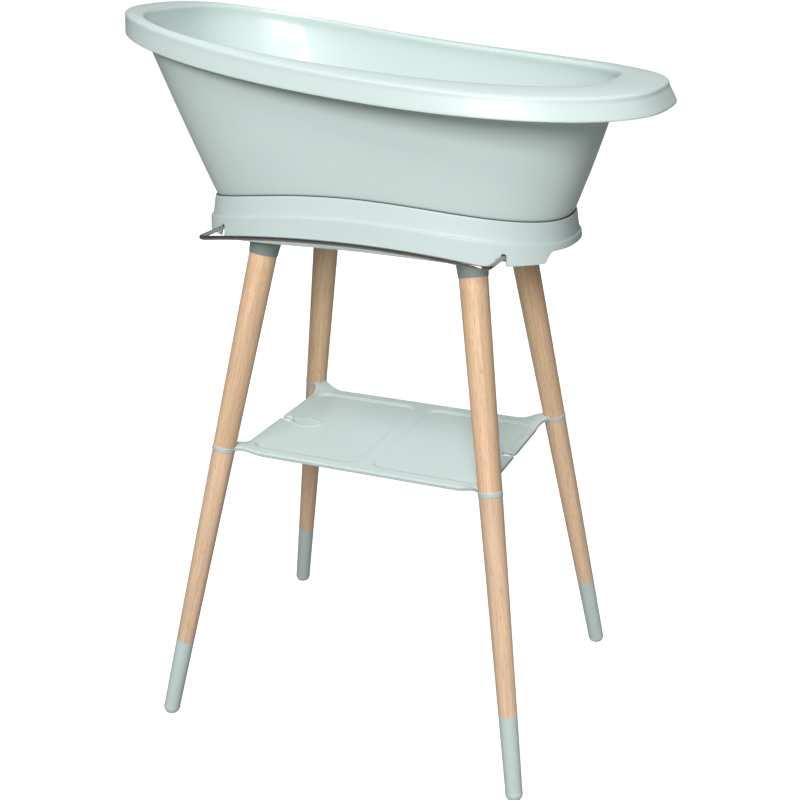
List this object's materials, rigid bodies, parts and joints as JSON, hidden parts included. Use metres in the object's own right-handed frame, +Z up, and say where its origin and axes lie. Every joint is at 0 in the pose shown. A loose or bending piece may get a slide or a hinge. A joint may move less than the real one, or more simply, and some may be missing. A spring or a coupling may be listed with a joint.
{
  "type": "baby bathtub on stand",
  "caption": "Oval baby bathtub with a raised backrest end, resting in a cradle on splayed two-part wooden legs with a shelf and a towel rail.",
  "frame": {"origin": "floor level, below the middle of the tub rim, which is the bottom centre of the bounding box", "axes": "+X along the tub's length towards the low foot end, -Y towards the side with the towel rail, +Z up"},
  "size_m": [0.7752, 0.4866, 1.0453],
  "materials": {
    "tub_plastic": "glossy pale mint",
    "stand_plastic": "satin pale mint",
    "grey_plastic": "satin grey mint",
    "cap_plastic": "satin grey mint",
    "seal_rubber": "matt",
    "stainless_wire": "polished",
    "zinc_steel": "zinc plated",
    "insert_brass": "turned",
    "beech_upper": "clear matt lacquer, warm beech",
    "beech_lower": "clear matt lacquer, pale beech"
  },
  "bodies": {
    "stand": {"cradle_frame": "stand_plastic", "towel_rail": "stainless_wire", "rail_clip_left": "grey_plastic", "rail_clip_right": "grey_plastic", "rail_clip_screws": "zinc_steel", "leg_socket_front_left": "grey_plastic", "leg_socket_front_right": "grey_plastic", "leg_socket_rear_left": "grey_plastic", "leg_socket_rear_right": "grey_plastic", "socket_screws": "zinc_steel", "leg_bolts": "zinc_steel", "leg_bolt_inserts": "insert_brass", "upper_leg_front_left": "beech_upper", "upper_leg_front_right": "beech_upper", "upper_leg_rear_left": "beech_upper", "upper_leg_rear_right": "beech_upper", "shelf_tray": "stand_plastic", "leg_joint_studs": "zinc_steel", "lower_leg_front_left": "beech_lower", "lower_leg_front_right": "beech_lower", "lower_leg_rear_left": "beech_lower", "lower_leg_rear_right": "beech_lower", "foot_cap_front_left": "cap_plastic", "foot_cap_front_right": "cap_plastic", "foot_cap_rear_left": "cap_plastic", "foot_cap_rear_right": "cap_plastic"},
    "tub": {"tub_shell": "tub_plastic", "drain_outlet": "grey_plastic", "drain_seal": "seal_rubber", "drain_ring_nut": "grey_plastic"},
    "plug": {"drain_plug": "grey_plastic"}
  },
  "joints": [
    {"name": "tub_lift", "type": "slide", "parent": "stand", "child": "tub", "axis": [0, 0, 1], "range_m": [0, 0.2]},
    {"name": "plug_pull", "type": "slide", "parent": "tub", "child": "plug", "axis": [0, 0, 1], "range_m": [0, 0.32]}
  ]
}
